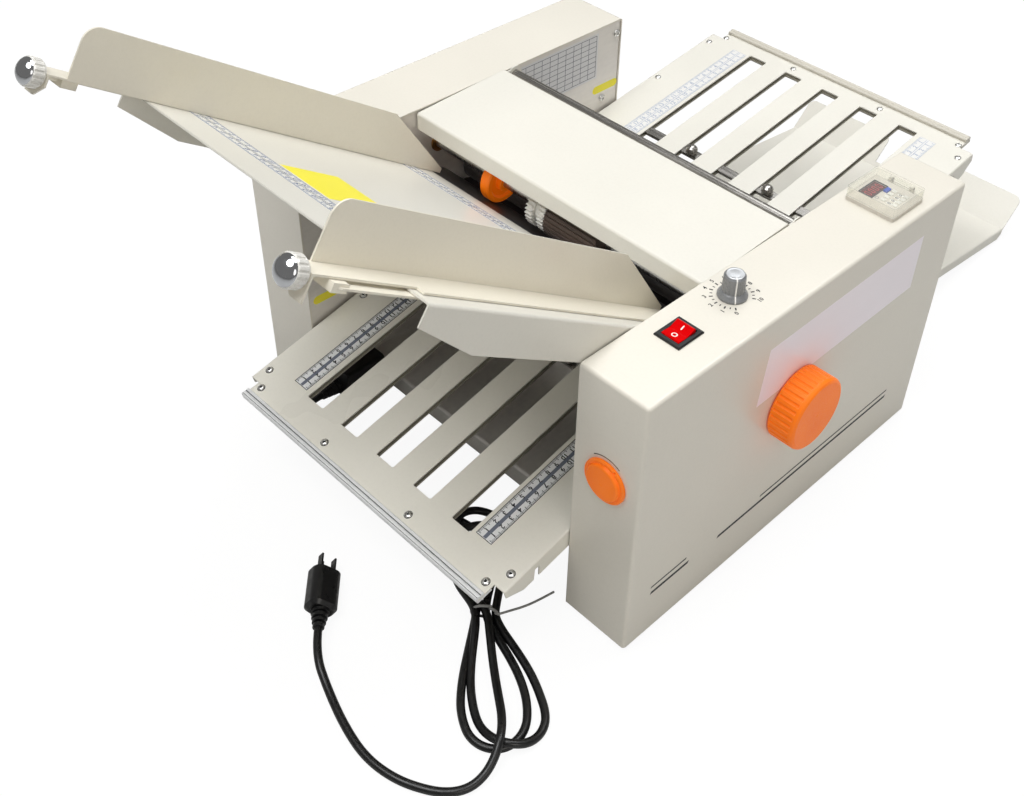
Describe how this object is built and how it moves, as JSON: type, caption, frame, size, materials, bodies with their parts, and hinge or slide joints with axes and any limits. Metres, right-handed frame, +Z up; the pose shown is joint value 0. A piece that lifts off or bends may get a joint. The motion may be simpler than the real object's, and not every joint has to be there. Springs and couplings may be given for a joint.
{
  "type": "paper folding machine",
  "caption": "Desk-top paper folding machine with a sloping feed table, a fold tray at the front and the back, fold rollers, a delivery tray and a tied mains cord.",
  "frame": {"origin": "bottom centre of the machine's own box, without the mains cord, on the surface that the feet stand on", "axes": "+X across the paper path towards the housing with the controls and hand wheel, +Y along the machine from the feed table to the delivery tray, +Z up"},
  "size_m": [0.5046, 0.9956, 0.4698],
  "materials": {
    "housing_paint": "satin powder coat, fine texture",
    "tray_paint": "satin powder coat",
    "guide_paint": "satin powder coat",
    "zinc": "zinc plated sheet",
    "steel": "ground steel",
    "chrome": "polished",
    "aluminium": "satin anodised",
    "bronze": "sintered bronze",
    "foot_rubber": "matt black rubber",
    "orange_rubber": "matt orange polyurethane",
    "brown_rubber": "matt brown rubber",
    "white_nylon": "natural nylon",
    "black_plastic": "fine texture",
    "ivory_plastic": "moulded, satin",
    "grey_plastic": "moulded, satin",
    "red_plastic": "glossy, translucent red",
    "blue_plastic": "glossy",
    "clear_plastic": "clear plastic",
    "motor_black": "black enamel",
    "cord_black": "matt black vinyl"
  },
  "bodies": {
    "machine": {"right_side_plate": "zinc", "left_side_plate": "zinc", "right_housing_cover": "housing_paint", "left_housing_cover": "housing_paint", "rubber_feet": "foot_rubber", "front_channel": "zinc", "rear_channel": "zinc", "top_tie_rod": "chrome", "roller_bushes": "bronze", "hook_studs": "steel", "front_tray_upper": "tray_paint", "front_tray_lower": "tray_paint", "front_edge_bar": "aluminium", "rear_tray_upper": "tray_paint", "rear_tray_lower": "tray_paint", "rear_edge_bar": "aluminium", "tray_screws": "steel", "delivery_tray": "tray_paint", "drive_motor": "motor_black", "infeed_plate": "zinc", "feed_table": "tray_paint", "rocker_housing": "black_plastic", "counter_body": "ivory_plastic", "mains_inlet": "black_plastic", "mains_cord_lead": "cord_black", "mains_cord_hank": "cord_black", "mains_cord_tail": "cord_black", "cord_tie": "black_plastic", "mains_plug": "cord_black"},
    "hand_drive": {"hand_wheel": "orange_rubber", "hand_roller": "steel", "hand_roller_gear": "steel"},
    "infeed_drive": {"infeed_roller": "steel", "infeed_roller_gear": "steel"},
    "second_drive": {"second_roller": "steel", "second_roller_gear": "steel"},
    "exit_drive": {"exit_roller": "steel", "exit_roller_gear": "steel"},
    "feed_drive": {"feed_shaft": "steel", "feed_drive_gear": "white_nylon", "feed_wheel": "orange_rubber", "feed_gear": "white_nylon", "feed_roller": "brown_rubber"},
    "motor_rotor": {"motor_gear": "steel"},
    "roller_lid": {"top_cover": "tray_paint"},
    "right_guide": {"side_guide_right": "guide_paint", "guide_clamp_right": "steel"},
    "right_guide_knob": {"guide_knob_right": "clear_plastic"},
    "left_guide": {"side_guide_left": "guide_paint", "guide_clamp_left": "steel"},
    "left_guide_knob": {"guide_knob_left": "clear_plastic"},
    "front_stop": {"front_paper_stop": "chrome"},
    "rear_stop": {"rear_paper_stop": "chrome"},
    "thickness_setting": {"thickness_knob": "orange_rubber", "thickness_shaft": "steel"},
    "separator_lift": {"separator": "aluminium"},
    "speed_setting": {"speed_knob": "grey_plastic"},
    "power_rocker": {"rocker": "red_plastic"},
    "counter_flap": {"counter_lid": "clear_plastic"},
    "reset_button": {"counter_button": "blue_plastic"}
  },
  "joints": [
    {"name": "hand_turn", "type": "hinge", "parent": "machine", "child": "hand_drive", "pos_m": [-0.0103, -0.09655, 0.1642], "axis": [1, 0, 0], "continuous": true},
    {"name": "infeed_turn", "type": "hinge", "parent": "machine", "child": "infeed_drive", "pos_m": [-0.0103, -0.08035, 0.19466], "axis": [1, 0, 0], "continuous": true},
    {"name": "second_turn", "type": "hinge", "parent": "machine", "child": "second_drive", "pos_m": [-0.0103, -0.06899, 0.14344], "axis": [1, 0, 0], "continuous": true},
    {"name": "exit_turn", "type": "hinge", "parent": "machine", "child": "exit_drive", "pos_m": [-0.0103, -0.09776, 0.1244], "axis": [1, 0, 0], "continuous": true},
    {"name": "feed_turn", "type": "hinge", "parent": "machine", "child": "feed_drive", "pos_m": [-0.0103, -0.12199, 0.23135], "axis": [1, 0, 0], "continuous": true},
    {"name": "motor_turn", "type": "hinge", "parent": "machine", "child": "motor_rotor", "pos_m": [-0.0103, -0.03164, 0.12984], "axis": [1, 0, 0], "continuous": true},
    {"name": "lid_hinge", "type": "hinge", "parent": "machine", "child": "roller_lid", "pos_m": [-0.0103, -0.02665, 0.2685], "axis": [-1, 0, 0], "range_deg": [0, 100]},
    {"name": "right_guide_slide", "type": "slide", "parent": "machine", "child": "right_guide", "axis": [-1, 0, 0], "range_m": [-0.01, 0.085]},
    {"name": "right_guide_knob_turn", "type": "hinge", "parent": "right_guide", "child": "right_guide_knob", "pos_m": [0.1297, -0.48316, 0.44602], "axis": [0, -0.829, 0.5592], "range_deg": [0, 270]},
    {"name": "left_guide_slide", "type": "slide", "parent": "machine", "child": "left_guide", "axis": [1, 0, 0], "range_m": [-0.0015, 0.085]},
    {"name": "left_guide_knob_turn", "type": "hinge", "parent": "left_guide", "child": "left_guide_knob", "pos_m": [-0.1588, -0.48316, 0.44602], "axis": [0, -0.829, 0.5592], "range_deg": [0, 270]},
    {"name": "front_stop_slide", "type": "slide", "parent": "machine", "child": "front_stop", "axis": [0, -0.9703, -0.2419], "range_m": [-0.01, 0.16]},
    {"name": "rear_stop_slide", "type": "slide", "parent": "machine", "child": "rear_stop", "axis": [0, 0.9885, 0.1513], "range_m": [-0.115, 0.155]},
    {"name": "thickness_turn", "type": "hinge", "parent": "machine", "child": "thickness_setting", "pos_m": [0.1925, -0.28425, 0.1807], "axis": [0, 1, 0], "range_deg": [0, 180]},
    {"name": "separator_rise", "type": "slide", "parent": "machine", "child": "separator_lift", "axis": [0, 0, 1], "range_m": [0, 0.002]},
    {"name": "speed_turn", "type": "hinge", "parent": "machine", "child": "speed_setting", "pos_m": [0.185, -0.14445, 0.276], "axis": [0, 0, 1], "range_deg": [-150, 150]},
    {"name": "power_tilt", "type": "hinge", "parent": "machine", "child": "power_rocker", "pos_m": [0.1868, -0.20855, 0.274], "axis": [-1, 0, 0], "range_deg": [0, 18]},
    {"name": "counter_flap_hinge", "type": "hinge", "parent": "machine", "child": "counter_flap", "pos_m": [0.1917, 0.07645, 0.281], "axis": [-1, 0, 0], "range_deg": [0, 110]},
    {"name": "reset_press", "type": "slide", "parent": "machine", "child": "reset_button", "axis": [0, 0, -1], "range_m": [0, 0.0012], "stiffness_N_per_m": 300}
  ],
  "couplings": [
    {"joint": "infeed_turn", "follows": "hand_turn", "ratio": -1},
    {"joint": "second_turn", "follows": "hand_turn", "ratio": -1},
    {"joint": "exit_turn", "follows": "hand_turn", "ratio": 1},
    {"joint": "feed_turn", "follows": "hand_turn", "ratio": 0.45098},
    {"joint": "motor_turn", "follows": "hand_turn", "ratio": 0.76667},
    {"joint": "thickness_turn", "follows": "separator_rise", "rad_per_m": 1570.8}
  ]
}
